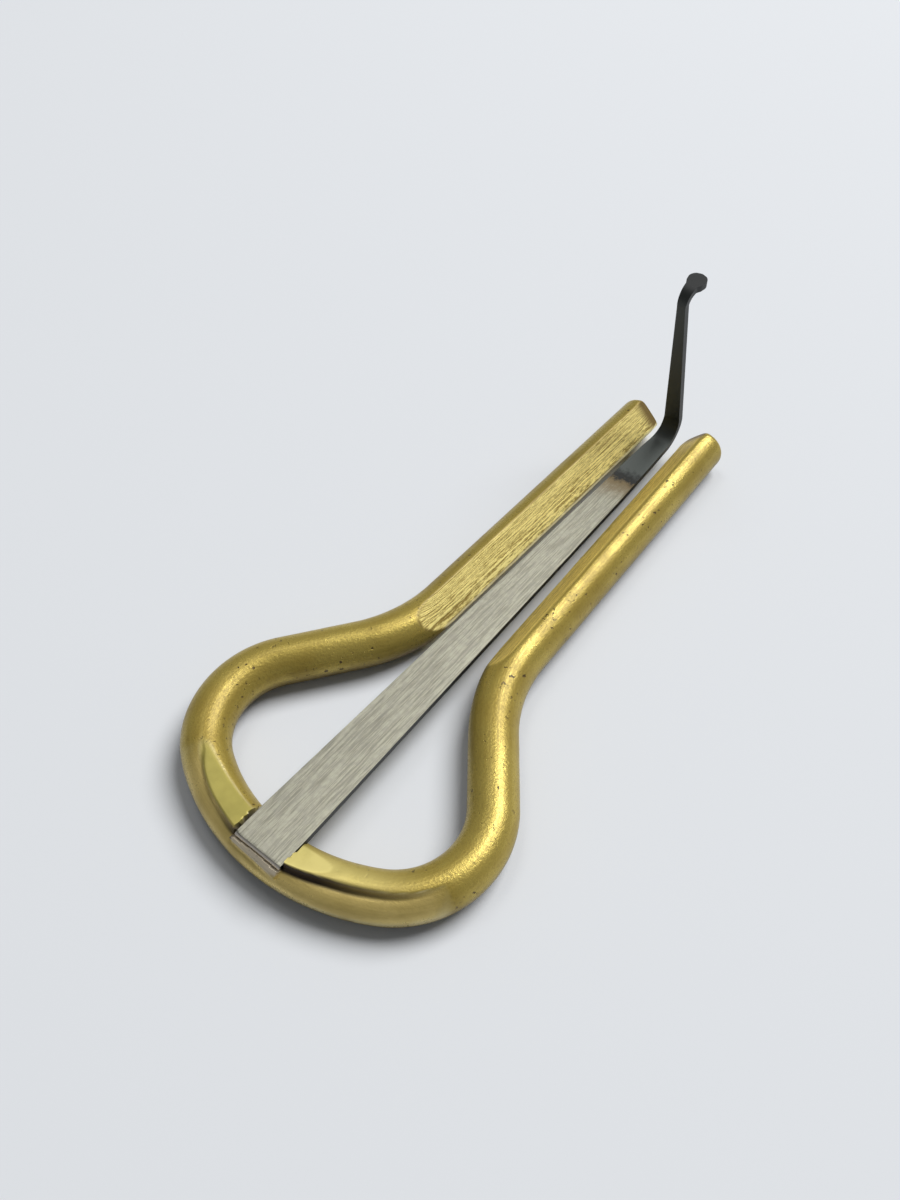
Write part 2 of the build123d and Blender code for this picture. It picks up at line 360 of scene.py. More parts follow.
def bevel_distance(points, facing):
    """How far points stand out of the upper (1) or the lower (-1) bevel of their arm."""
    tilt = np.radians(np.where(hand > 0, LEFT_TILT, RIGHT_TILT))
    from_neck = points - np.append(arm_start, HALF)
    ahead = from_neck @ arm_way
    inward = from_neck @ np.array((arm_way[1], -arm_way[0], 0))
    run = np.clip(-BEVEL_LEAD - ahead, 0, RUNOUT_RADIUS)
    depth = EDGE_REACH * np.cos(tilt) + facing * WAVER_DEPTH * waver
    depth += RUNOUT_RADIUS - np.sqrt(RUNOUT_RADIUS**2 - run**2)
    if facing > 0:
        depth -= np.maximum(ahead - arm_length + TIP_FACET, 0) * tan(radians(FACET_TILT))
    out = inward * np.cos(tilt) + facing * from_neck[:, 2] * np.sin(tilt) - depth
    return np.where(run < RUNOUT_RADIUS, out, FAR)


def both_bevels(points):
    """How far points stand out of the bevels of their arm, with the edge between the two rounded."""
    return smooth_max(bevel_distance(points, 1), bevel_distance(points, -1), EDGE_SOFT)


print("bevels reach", int((both_bevels(folded) > 0).sum()), "vertices")

# %% [markdown]
# ## Lips, steps and ledges
# The reed is staked: with the strip in its slot, the brass beside it was struck down. That left a flat
# lip on each side, a steep step along the lip's outer edge and a lower ledge outside the step. None of
# them keeps one size, and all run out into the round rod. So a few sizes are given along the bow,
# as (distance, size), one table for the left and one for the right, and the corners are eased.

# %% Set the sizes along the bow
LIP_DEPTH = {
    1: ((0, 0.34), (3.5, 0.32), (6.9, 0.27), (9.5, 0.18), (11.5, 0.09), (12.8, 0.02), (14.0, -0.3)),
    -1: ((0, 0.46), (3.0, 0.42), (5.0, 0.27), (7.4, 0.03), (9.0, -0.3)),
}
CREASE = {
    1: ((0, 1.2), (3.1, 1.15), (5.2, 0.96), (7.8, 0.84), (9.9, 0.53), (11.0, 0.15), (12.6, -0.6)),
    -1: ((0, 0.95), (2.9, 0.82), (7.1, 0.42), (11.0, 0.45), (14.8, 0.75), (17.0, 0.85)),
}
LEDGE_DROP = {
    1: ((0, 0.92), (3.0, 0.92), (7.5, 0.7), (10.0, 0.38), (11.6, 0.14), (12.8, 0.02), (14.0, -0.3)),
    -1: ((0, 1.05), (8.0, 1.05), (11.0, 0.9), (14.8, 0.5), (16.6, 0.12), (18.2, -0.3)),
}
EASE, EASE_STEPS = 0.8, 9


def read_table(tables):
    """The size at each vertex, from the table of its side, with the corners eased."""
    shifts = np.linspace(-EASE, EASE, EASE_STEPS)
    sizes = {}
    for side, table in tables.items():
        sizes[side] = np.mean([np.interp(along + shift, *zip(*table)) for shift in shifts], axis=0)
    return np.where(hand > 0, sizes[1], sizes[-1])


lip_depth, crease, ledge_drop = (read_table(tables) for tables in (LIP_DEPTH, CREASE, LEDGE_DROP))
print("lips up to", round(lip_depth.max(), 2), "mm deep, steps up to", round(ledge_drop.max(), 2), "mm")

# %% Measure from the lips, the steps and the ledges
LEFT_LIP_TILT, RIGHT_LIP_TILT = 3.0, 13.0
WALL_LEAN, LEDGE_SIDE = radians(10.0), radians(100.0)
FOOT_SOFT, RUNOUT_PULL = 0.2, 1.5
SEAT_REACH = 20.0
foot_out = crease + ledge_drop * tan(WALL_LEAN)
foot_up = np.sqrt(HALF**2 - crease**2) - ledge_drop


def lip_distance(out, up):
    """How far points of the rod's section stand above the flattened lip."""
    tilt = np.radians(np.where(hand > 0, LEFT_LIP_TILT, RIGHT_LIP_TILT))
    cut = up * np.cos(tilt) - out * np.sin(tilt) - HALF + lip_depth
    return np.where(along < SEAT_REACH, cut, FAR)


def step_wall(out, up):
    """How far points lie outside the step from a lip down to its ledge."""
    return (out - foot_out) * cos(WALL_LEAN) + (up - foot_up) * sin(WALL_LEAN)


def ledge_distance(out, up):
    """How far points stand above the ledge, a round from the step's foot to the side of the rod."""
    level = foot_out * sin(LEDGE_SIDE) + foot_up * cos(LEDGE_SIDE)
    radius = (foot_out**2 + foot_up**2 - 2 * HALF * level + HALF**2) / (2 * (HALF - level))
    inset = HALF - radius
    curve = np.hypot(out - inset * sin(LEDGE_SIDE), up - inset * cos(LEDGE_SIDE)) - radius
    cut = -smooth_max(-step_wall(out, up), -curve, FOOT_SOFT)
    cut += RUNOUT_PULL * np.minimum(ledge_drop, 0)
    on_outside = np.arctan2(out, up) % (2 * pi) < LEDGE_SIDE
    return np.where(on_outside & (along < SEAT_REACH), cut, FAR)


print("ledges reach", int((ledge_distance(outward * HALF, upward * HALF) > 0).sum()), "vertices")

# %% [markdown]
# ## The slot
# The slot's floor is flat and falls a little towards the arms, as the reed does. The vertices between
# the two walls go down to that floor, and one loop stays at the knee of the wall, where the wall ends
# and the lip begins. Past the reed's end a bank of brass was pushed up against the steel, so there the
# floor rises before it falls to the ledge.

# %% Measure from the slot
SEAT_DEPTH, REED_DROP, ROOT_OVERHANG = 1.25, radians(1.4), 1.2
BANK_HEIGHT, BANK_SLOPE, BANK_RUN = 0.54, 0.62, 0.62
BANK_SKEW, BANK_FALL = 0.05, 6.0
SEAT_FRONT, LOOP_CATCH = -29.0, 0.005
KNEE = 0.78
seat_origin = np.array((TAIL_X, 0, ROD - SEAT_DEPTH))
reed_along = np.array((cos(REED_DROP), 0, -sin(REED_DROP)))
reed_up = np.array((sin(REED_DROP), 0, cos(REED_DROP)))

behind = folded[:, 0] < SEAT_FRONT
wall = np.where(hand > 0, slot_wall[1], slot_wall[-1])
into_lip = folded[:, 1] - wall
in_slot = behind & (into_lip < LOOP_CATCH)
on_knee = behind & (np.abs(into_lip - LOOPS[1]) < LOOP_CATCH)
on_lip = behind & ~in_slot & ~on_knee


def bank_height(points):
    """Distance past the reed's end, and height over the seat of the brass pushed up against it."""
    past_end = -ROOT_OVERHANG - (points - seat_origin) @ reed_along
    run_over = np.maximum(past_end - BANK_RUN + BANK_SKEW * points[:, 1] * hand, 0)
    return past_end, BANK_HEIGHT - BANK_SLOPE * past_end - BANK_FALL * run_over


def slot_distance(points, ledge):
    """How far points stand above the slot's floor, its bank or the knee of its wall."""
    over_seat = (points - seat_origin) @ reed_up
    past_end, bank = bank_height(points)
    on_bank = np.minimum(over_seat - bank, np.maximum(ledge, over_seat))
    on_floor = np.where(past_end > 0, on_bank, over_seat)
    return np.where(in_slot, on_floor, np.where(on_knee, over_seat - KNEE, FAR))


print("slot of", int(in_slot.sum()), "vertices, lips of", int(on_lip.sum()))

# %% [markdown]
# ## Filing and staking
# Now every vertex slides along its ray towards the middle of the rod until it stands out of no cut. The
# place is found by halving: half way between the middle and the outside, then a quarter, and so on. The
# loops of the slot's walls are then put back onto straight lines, and the lips' edges are pushed over:
# the right one onto the reed, the left one a little off it, both ragged as struck brass is.

# %% File the rod
LEFT_SOFT, RIGHT_SOFT = 0.04, 0.3
LIP_WALL_FOOT, LIP_EDGE_SOFT = 0.3, 0.1
OVERSIZE, HALVINGS = 1.02, 26
flat_soft = np.where(hand > 0, LEFT_SOFT, RIGHT_SOFT)


def cut_distances(reach):
    """Every cut's distance for the points this far out from the middle of the rod."""
    here = centre + ray * reach[:, None]
    out, up = outward * reach, upward * reach
    lips, ledge = lip_distance(out, up), ledge_distance(out, up)
    at_wall = on_lip & ((here - seat_origin) @ reed_up > LIP_WALL_FOOT)
    lips = np.where(at_wall, smooth_max(lips, -into_lip, LIP_EDGE_SOFT), lips)
    return both_bevels(here), lips, np.where(in_slot, FAR, ledge), slot_distance(here, ledge)


low, high = np.zeros(len(points)), stock * OVERSIZE
for _ in range(HALVINGS):
    middle = (low + high) / 2
    bevels, lips, ledge, slot = cut_distances(middle)
    out = smooth_max(middle - worn_stock, bevels, flat_soft)
    out = smooth_max(out, lips, EDGE_SOFT)
    out = smooth_max(out, ledge, EDGE_SOFT)
    out = np.maximum(out, slot)
    low, high = np.where(out > 0, low, middle), np.where(out > 0, middle, high)
reach = np.where(stock > TINY, low, 0)
filed = centre + ray * reach[:, None]
print("filing takes off up to", round((stock - reach).max(), 2), "mm")

# %% Straighten the slot's walls and stake the lips
ON_LOOP, SEAT_SLACK, KNEE_SLACK = 0.001, 0.01, 0.02
LIP_CATCH = 0.1
RAGGED_WAVES, RAGGED_ROW, LEFT_RAGGED, RIGHT_RAGGED = 2.6, (0, 9), 0.05, 0.025


def ramp(value, start, end):
    """0 up to start, 1 from end on, and in proportion between them."""
    return np.clip((value - start) / (end - start), 0, 1)


def reshape(obj, points):
    """Puts the mesh's vertices at these points, in mm."""
    obj.data.vertices.foreach_set("co", (points * MM).ravel())
    obj.data.update()


over_seat = (filed - seat_origin) @ reed_up
shaped = filed.copy()
for offset in LOOPS:
    on_loop = behind & (np.abs(into_lip - offset) < ON_LOOP) & (over_seat > -SEAT_SLACK)
    shaped[on_loop, 1] = (wall + offset)[on_loop]
ragged = np.array([noise.noise(Vector((x * RAGGED_WAVES, *RAGGED_ROW))) for x in filed[:, 0]])
push = np.where(hand < 0, RIGHT_RAGGED * ragged - LIP_CATCH, LEFT_RAGGED * (1 + ragged))
push *= ramp(into_lip, LOOPS[2] + LOOPS[-1], LOOPS[2])
shaped[:, 1] += np.where(on_lip & (over_seat > KNEE - KNEE_SLACK), push, 0)
shaped[:, 1] *= hand
reshape(rod, shaped)
print("rod now spans", [round(v, 2) for v in np.ptp(shaped, axis=0)], "mm")

# %% [markdown]
# ## Marks for the finish
# Brass shows what was done to it. Filed and struck faces are paler than the old skin, dirt and painted
# shade darken the corners, and edges are rubbed bright and carry a painted highlight. Some marks are
# only painted light and shade: the underside is coloured darker as shade, and a strip along the top of
# the bow behind the right lip carries a painted highlight. These marks could be painted by hand on the
# mesh, but the distances already know which cut made each vertex. So every mark is kept as an
# attribute, one number for each vertex, and the brass reads them later. rod_way is the place along and
# round the rod, which carries the lines of the drawing die and of the file.

# %% Mark the bevels and their edges
SHARE_START, SHARE_END = -0.042, 0.078
BURR_WIDTH, EDGE_SHIFT, EDGE_WIDTH = 0.07, 0.15, 0.11
LEFT_EDGE_HIGHLIGHT, RIGHT_EDGE_HIGHLIGHT = 0.9, 0.3
FACET_LEAD, FACET_FADE = 0.5, 1.5
bevels, lips, ledge, slot = cut_distances(reach)
stand_off = reach - worn_stock


def paint(obj, name, values):
    """Keeps one number for each vertex, or three, as an attribute that the material reads."""
    kind, field = ("FLOAT", "value") if values.ndim == 1 else ("FLOAT_VECTOR", "vector")
    marks = obj.data.attributes.new(name, kind, "POINT")
    marks.data.foreach_set(field, values.astype(np.float32).ravel())


def share_of(cut):
    """1 where this cut made the surface, 0 where the rod's own skin is left."""
    return ramp(cut - stand_off, SHARE_START, SHARE_END)


def bell(value, width):
    """1 at zero, falling away within about this width on both sides."""
    return np.exp(-((value / width) ** 2))


around = np.mod(np.arctan2(upward, left) + pi / 2, 2 * pi) * HALF
paint(rod, "rod_way", np.column_stack((hand * along, around, np.zeros(len(along)))))
paint(rod, "filed", share_of(bevels))
paint(rod, "burr", bell(bevels - stand_off, BURR_WIDTH) * (hand > 0))
ridge = bell(bevel_distance(filed, 1) - bevel_distance(filed, -1) - EDGE_SHIFT, EDGE_WIDTH)
# Painted highlight: the filed edge beside the reed is marked to be coloured bright, more on the left arm.
arm_edge_highlight = ridge * share_of(bevels) * np.where(hand > 0, LEFT_EDGE_HIGHLIGHT, RIGHT_EDGE_HIGHLIGHT)
facet_start = rod_length - TIP_FACET - FACET_LEAD
burnt = ramp(along, facet_start, facet_start + FACET_FADE)
paint(rod, "facet", burnt * share_of(bevels) * (upward > 0))
print("filed faces cover", round(100 * share_of(bevels).mean()), "percent of the vertices")

# %% Mark the lips, the ledges, their rims and their painted highlights
RIM_WIDTH, FULL_LIP, FULL_STEP, FULL_LEDGE = 0.05, 0.12, 0.3, 0.35
RIM_HIGHLIGHT, RIM_HIGHLIGHT_UNEVEN = 0.32, 0.25
TOP_HIGHLIGHT_END, TOP_HIGHLIGHT_FULL = 16.0, 7.0
TOP_HIGHLIGHT_LEAN, TOP_HIGHLIGHT_WIDTH, TOP_HIGHLIGHT = 0.25, 0.6, 0.75
# Painted highlight: the rims of the left lip and of the steps are marked to be coloured bright.
lip_rim = bell(lips - stand_off, RIM_WIDTH) * ramp(lip_depth, 0, FULL_LIP) * on_lip
step_rim = bell(ledge - np.maximum(lips, stand_off), RIM_WIDTH) * ramp(ledge_drop, 0, FULL_STEP)
rim_highlights = (RIM_HIGHLIGHT + RIM_HIGHLIGHT_UNEVEN * dents) * np.maximum(lip_rim * (hand > 0), step_rim)
paint(rod, "edge_highlight", np.maximum(arm_edge_highlight, rim_highlights))
lip_share, ledge_share = share_of(lips), share_of(ledge)
# Painted highlight: behind the right lip, a strip along the top of the bow takes the right lip's bright
# colours.
over_top = np.arctan2(outward, upward)
painted_top_highlight = ramp(along, TOP_HIGHLIGHT_END, TOP_HIGHLIGHT_FULL) * bell(over_top + TOP_HIGHLIGHT_LEAN, TOP_HIGHLIGHT_WIDTH)
painted_top_highlight *= TOP_HIGHLIGHT * (1 - ledge_share)
paint(rod, "pressed_and_highlight", np.where(hand > 0, lip_share, np.maximum(lip_share, painted_top_highlight)))
struck = np.where(in_slot, 1, ramp(ledge_drop, 0, FULL_LEDGE))
paint(rod, "ledge", share_of(np.maximum(ledge, slot)) * struck)
print("struck faces cover", round(100 * np.maximum(lip_share, ledge_share).mean()), "percent")

# %% Mark the slot, the dirt with its painted shade, and the shaded underside
SMEAR_WAVES, SMEAR_UNEVEN, SMEAR_EDGE = 1.7, 0.12, 0.1
LEFT_DIRT_SHADE, RIGHT_DIRT_SHADE, DIRT_SHADE_FULL, DIRT_SHADE_END = 0.2, 0.3, 0.25, 1.25
LEFT_DIRT_SHADE_RUN, RIGHT_DIRT_SHADE_RUN, RUN_FULL, RUN_END = 4.0, 10.0, 0.6, 1.6
CORNER_DIRT_SHADE, CORNER_Y = 0.8, 2.74
UNDER_START, UNDER_FULL = 0.25, -0.5
past_end, bank = bank_height(filed)
uneven = np.array([noise.noise(Vector(p) * SMEAR_WAVES) for p in shaped])
banked = ramp(bank + SMEAR_UNEVEN * uneven, -SMEAR_EDGE, SMEAR_EDGE)
smeared = share_of(slot) * np.where(past_end > 0, banked, 1)
paint(rod, "smeared", smeared)
wall_gap = np.abs(step_wall(outward * reach, upward * reach))
dirt_shade_width = np.where(hand > 0, LEFT_DIRT_SHADE, RIGHT_DIRT_SHADE)
dirt_shade_run = np.where(hand > 0, LEFT_DIRT_SHADE_RUN, RIGHT_DIRT_SHADE_RUN)
# Dirt and painted shade: the foot of each step and the slot's corners are marked to be darkened, as recesses
# in shade are.
dirt_and_shade = ramp(wall_gap, DIRT_SHADE_END * dirt_shade_width, DIRT_SHADE_FULL * dirt_shade_width)
dirt_and_shade *= ramp(along, RUN_END * dirt_shade_run, RUN_FULL * dirt_shade_run)
dirt_and_shade *= ledge_share * (into_lip > -LOOP_CATCH)
in_corner = CORNER_DIRT_SHADE * smeared * (np.abs(shaped[:, 1]) > CORNER_Y)
paint(rod, "dirt_and_painted_shade", np.maximum(dirt_and_shade, in_corner))
# Painted shade: the rod's lower side is marked, to be coloured darker as if in shade.
paint(rod, "painted_underside_shade", ramp(upward, UNDER_START, UNDER_FULL))
print("marks:", ", ".join(a.name for a in rod.data.attributes if a.data_type == "FLOAT"))

# %% Smooth the rod and let it stand for the CAD frame
ROD_SMOOTH = radians(50)


def select_only(obj):
    """Makes this the only selected object, and the active one."""
    bpy.ops.object.select_all(action="DESELECT")
    obj.select_set(True)
    bpy.context.view_layer.objects.active = obj


select_only(rod)
bpy.ops.object.shade_smooth_by_angle(angle=ROD_SMOOTH)
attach(rod, "frame")
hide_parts("frame")
print("brass_frame:", len(rod.data.polygons), "faces")

# %% [markdown]
# ## The reed
# The reed is one strip of spring steel, from its root in the slot to the tab on the trigger. A smith
# cuts it to its outline, and then bends up the trigger and the tab. A box could be stretched and bent
# into it, but its width and its bends would be hard to set apart. So a row of vertices walks along the
# strip's side view first, on the same kind of path as the rod.

# %% Walk the strip along its side view
REED_THICKNESS = 0.75
TRIGGER_SETBACK, TRIGGER_BEND, TRIGGER_TURN, TRIGGER_RUN = 3.6, 2.6, 102.5, 18.2
TAB_BEND, TAB_TURN, TAB_RUN = 1.3, 97.0, 2.1
BLADE_STEP, BEND_STEP, TAB_STEP = 0.5, 0.3, 0.16
BLADE_RUN = ROOT_OVERHANG + LENGTH - HALF - TRIGGER_SETBACK
ROWS = 8
strip_bends = [
    (BLADE_RUN, 0, BLADE_STEP),
    (TRIGGER_TURN, TRIGGER_BEND, BEND_STEP),
    (TRIGGER_RUN, 0, BLADE_STEP),
    (-TAB_TURN, TAB_BEND, TAB_STEP),
    (TAB_RUN, 0, TAB_STEP),
]
strip_path = bend_path((-ROOT_OVERHANG, REED_THICKNESS / 2), 0, strip_bends)


def on_strip(point):
    """A point of the strip's side view, in space and in metres."""
    return (seat_origin + point[0] * reed_along + point[1] * reed_up) * MM


bpy.ops.object.select_all(action="DESELECT")
bpy.ops.mesh.primitive_grid_add(x_subdivisions=1, y_subdivisions=ROWS, size=MM)
reed = bpy.context.object
reed.name = "steel_reed"
bpy.ops.object.mode_set(mode="EDIT")
pick(reed, lambda co: co.x < 0)
bpy.ops.mesh.delete(type="VERT")
bpy.ops.mesh.select_all(action="SELECT")
row_to_root = Vector(on_strip(strip_path[0]["start"])) - Vector((MM / 2, 0, 0))
bpy.ops.transform.translate(value=row_to_root)
follow(strip_path, on_strip, (0, -1, 0))
bpy.ops.object.mode_set(mode="OBJECT")
strip_end = strip_path[-1]["gone"] + TAB_RUN
print("strip", round(strip_end, 2), "mm long,", len(reed.data.polygons), "faces")

# %% [markdown]
# ## The reed's taper and tab
# The strip is widest in the slot, narrows evenly to the bend, and then more quickly up the trigger, to
# a tab with round corners for the finger. The left side is a little fuller than the right near the
# bend. The strip is still one millimetre wide here, so each vertex's y is multiplied by the width that
# belongs to its place along the strip.

# %% Give the strip its taper and its rounded tab
bend_end, neck_start, tab_start = (strip_path[n]["gone"] for n in (2, 3, 4))
ROOT_WIDTHS = ((0, ROOT_WIDTH), (ROOT_OVERHANG + HALF, ROOT_WIDTH))
LEFT_TAPER = (
    (BLADE_RUN - 10, 3.1), (BLADE_RUN - 3, 2.9), (BLADE_RUN, 2.65), (BLADE_RUN + 2.5, 2.15)
)
RIGHT_TAPER = ((BLADE_RUN - 10, 3.05), (BLADE_RUN - 3, 2.5), (BLADE_RUN, 2.2))
TRIGGER_WIDTHS = ((bend_end, 2.0), (neck_start, 1.0))
TAB_WIDTHS = ((tab_start, 1.35), (tab_start + 0.45, 1.85), (strip_end - 1, 2.1))
TAB_CORNER = 1.0


def strip_places(points):
    """Distance along the strip and height over its middle of each point."""
    from_seat = points - seat_origin
    side_view = np.column_stack((from_seat @ reed_along, from_seat @ reed_up))
    return stations(strip_path, side_view)[:2]


def strip_width(run, taper):
    """Twice the distance from the middle to a side with this taper."""
    return np.interp(run, *zip(*ROOT_WIDTHS, *taper, *TRIGGER_WIDTHS, *TAB_WIDTHS))


points = coordinates(reed)
run, _ = strip_places(points)
width = np.where(points[:, 1] > 0, strip_width(run, LEFT_TAPER), strip_width(run, RIGHT_TAPER))
into_corner = np.clip(TAB_CORNER - (strip_end - run), 0, TAB_CORNER)
width -= 2 * (TAB_CORNER - np.sqrt(TAB_CORNER**2 - into_corner**2))
points[:, 1] *= width
reshape(reed, points)
print("strip", round(width.max(), 2), "to", round(width.min(), 2), "mm wide")

# %% [markdown]
# ## The reed's thickness
# Solidify gives the strip its thickness, evenly to both sides of the walked line. The root's upper end
# edge is ground off, so it gets a wider bevel by itself. A modifier then breaks all the other edges by
# a few hundredths of a millimetre: enough for a real edge, too little for a bright line along it.

# %% Thicken the strip and break its edges
ROOT_BEVEL, NEAR_ROOT = 0.2, 0.02
BROKEN_EDGE, BROKEN_ANGLE = 0.03, radians(38)
solid = reed.modifiers.new("thickness", "SOLIDIFY")
solid.thickness = REED_THICKNESS * MM
solid.offset = 0
bpy.ops.object.modifier_apply(modifier=solid.name)
bpy.ops.object.mode_set(mode="EDIT")
bpy.ops.mesh.select_all(action="SELECT")
bpy.ops.mesh.normals_make_consistent(inside=False)
root_x, root_z = on_strip((-ROOT_OVERHANG, REED_THICKNESS))[[0, 2]] / MM
pick(reed, lambda co: abs(co.x - root_x) < NEAR_ROOT and co.z > root_z - NEAR_ROOT)
bpy.ops.mesh.bevel(offset=ROOT_BEVEL * MM, segments=1, affect="EDGES")
bpy.ops.object.mode_set(mode="OBJECT")
broken = reed.modifiers.new("broken_edges", "BEVEL")
broken.width = BROKEN_EDGE * MM
broken.segments = 1
broken.limit_method = "ANGLE"
broken.angle_limit = BROKEN_ANGLE
bpy.ops.object.modifier_apply(modifier=broken.name)
print("steel_reed:", len(reed.data.vertices), "vertices")

# %% [markdown]
# ## Letting the reed bend
# The real reed has no hinge: it springs from the slot. The CAD model has two bodies there, and a hinge
# stands in for the bending. So the strip stays in one piece and blends from one body to the other over
# a length on both sides of that hinge. Each vertex also keeps its place along, across and over the
# strip, which the steel's finish follows.

# %% Mark places along the reed and let it bend
REED_SMOOTH = radians(35)
BEND_HALF = Vector((10 * MM, 0, 0))
points = coordinates(reed)
run, over = strip_places(points)
paint(reed, "reed_way", np.column_stack((run, points[:, 1], over)))
select_only(reed)
bpy.ops.object.shade_smooth_by_angle(angle=REED_SMOOTH)
hinge = Vector(frame["joints"][0]["pos_m"])
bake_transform(reed, "frame", "reed", start=hinge - BEND_HALF, end=hinge + BEND_HALF)
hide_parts("reed_root", "reed_tongue")
print("reed bends about x =", round(hinge.x / MM, 2), "mm")

# %% [markdown]
# ## Wiring up metal
# Both metals are shader nodes, with no pictures, so they look right from any distance. The same few
# steps come again and again: noise, stretching a range of values, and mixing two colours by a third
# value. Each gets a small helper, and the metals then read as lists of finishes laid over each other.

# %% Start the brass
def new_metal(name):
    """A material with its node tree and its shader."""
    material = bpy.data.materials.new(name)
    material.use_nodes = True
    return material, material.node_tree, material.node_tree.nodes["Principled BSDF"]


def add(tree, kind, wires, **settings):
    """Adds a node. Each wire is a plain value for that input, or another node's output."""
    made = tree.nodes.new("ShaderNode" + kind)
    for name, value in settings.items():
        setattr(made, name, value)
    for name, value in wires.items():
        if isinstance(value, bpy.types.NodeSocket):
            tree.links.new(value, made.inputs[name])
        else:
            made.inputs[name].default_value = value
    return made


def attribute(tree, name, output="Fac"):
    """A mark that was painted on the mesh."""
    return add(tree, "Attribute", {}, attribute_name=name).outputs[output]


brass, tree, shader = new_metal("worn_brass")
place = add(tree, "TexCoord", {}).outputs["Object"]
way = attribute(tree, "rod_way", "Vector")
print("brass starts with", len(tree.nodes), "nodes")

# %% [markdown]
# ## The brass: skin
# Old brass is never one colour. Handling polishes it, air browns it again, and the drawing die leaves
# fine lines along the rod. One broad noise gives patches, a noise drawn out along the rod gives the
# lines, and the two together say how far the skin is tarnished. A very fine noise gives it its grain.
# The skin has small pits in some areas, and it is painted browner underneath as shade.

# %% Spread tarnish over the skin
PATCH_WAVES, DRAWN_WAVES = (150,) * 3, (0.07, 2.2, 1)
PATCH_SHARE, TARNISH_RANGE = 0.65, (0.4, 0.62)


def grain(tree, place, waves, detail=3.0, rough=0.55):
    """Noise with this many waves per unit of place along each axis."""
    drawn = add(tree, "Mapping", {"Vector": place, "Scale": waves}).outputs[0]
    wires = {"Vector": drawn, "Scale": 1.0, "Detail": detail, "Roughness": rough}
    return add(tree, "TexNoise", wires).outputs[0]


def spread(tree, value, low, high, to_low=0.0, to_high=1.0):
    """Stretches the values from low to high over a new range, eased at both ends."""
    wires = {"Value": value, "From Min": low, "From Max": high, "To Min": to_low, "To Max": to_high}
    return add(tree, "MapRange", wires, interpolation_type="SMOOTHSTEP").outputs[0]


def combine(tree, operation, a, b):
    """Two values added, multiplied and so on."""
    return add(tree, "Math", {0: a, 1: b}, operation=operation).outputs[0]


def weigh(tree, a, b, a_share):
    """This share of a and the rest of b, added up."""
    part_a = combine(tree, "MULTIPLY", a, a_share)
    part_b = combine(tree, "MULTIPLY", b, 1 - a_share)
    return combine(tree, "ADD", part_a, part_b)


patches = grain(tree, place, PATCH_WAVES, detail=5)
drawn_lines = grain(tree, way, DRAWN_WAVES, detail=3)
tarnish = spread(tree, weigh(tree, patches, drawn_lines, PATCH_SHARE), *TARNISH_RANGE)
print("brass with its tarnish:", len(tree.nodes), "nodes")

# %% Colour the skin
BRIGHT_SKIN, BROWN_SKIN, GRAIN_BROWN = (0.485, 0.373, 0.085), (0.352, 0.257, 0.05), (0.22, 0.15, 0.035)
SAND_WAVES, DARK_GRAINS = (3400,) * 3, (0.32, 0.5, 0.35, 0.0)


def mix_colour(tree, share, a, b):
    """Colour a, with this share of colour b over it. Each is a plain colour or a node's output."""
    a, b = (c if isinstance(c, bpy.types.NodeSocket) else (*c, 1) for c in (a, b))
    return add(tree, "Mix", {0: share, 6: a, 7: b}, data_type="RGBA").outputs[2]


sand = grain(tree, place, SAND_WAVES, detail=4, rough=0.65)
skin_colour = mix_colour(tree, tarnish, BRIGHT_SKIN, BROWN_SKIN)
skin_colour = mix_colour(tree, spread(tree, sand, *DARK_GRAINS), skin_colour, GRAIN_BROWN)
print("brass with its skin:", len(tree.nodes), "nodes")

# %% Add pits and the painted shade underneath
PIT_BROWN, UNDER_SHADE_BROWN = (0.11, 0.07, 0.025), (0.095, 0.064, 0.02)
PIT_WAVES, PIT_RANGE = (1900,) * 3, (0.3, 0.37, 1.0, 0.0)
PITTED_WAVES, PITTED_RANGE = (230,) * 3, (0.48, 0.6)
OFF_LEDGE, UNDER_PATCHES = (0.0, 0.4, 1.0, 0.0), (0.35, 0.6, 1.0, 0.7)
ledge_mark = attribute(tree, "ledge")
pit_spots = spread(tree, grain(tree, place, PIT_WAVES, rough=0.5), *PIT_RANGE)
pitted_areas = spread(tree, grain(tree, place, PITTED_WAVES), *PITTED_RANGE)
off_ledge = spread(tree, ledge_mark, *OFF_LEDGE)
pits = combine(tree, "MULTIPLY", combine(tree, "MULTIPLY", pit_spots, pitted_areas), off_ledge)
skin_colour = mix_colour(tree, pits, skin_colour, PIT_BROWN)
# Painted shade: the rod's underside is browned where shade falls on it.
shade_underneath = spread(tree, attribute(tree, "painted_underside_shade"), 0.0, 1.0)
shade_underneath = combine(tree, "MULTIPLY", shade_underneath, spread(tree, patches, *UNDER_PATCHES))
skin_colour = mix_colour(tree, shade_underneath, skin_colour, UNDER_SHADE_BROWN)
print("brass with its pits:", len(tree.nodes), "nodes")

# %% [markdown]
# ## The brass: filed faces
# A file leaves long scratches and short grit marks along the arm, and cuts through the brown skin to
# paler metal. The left arm's face is the brightest. A dark burr runs along its outer border, its edge
# beside the reed is rubbed bright and carries a painted highlight, and the facet at its tip is brown.

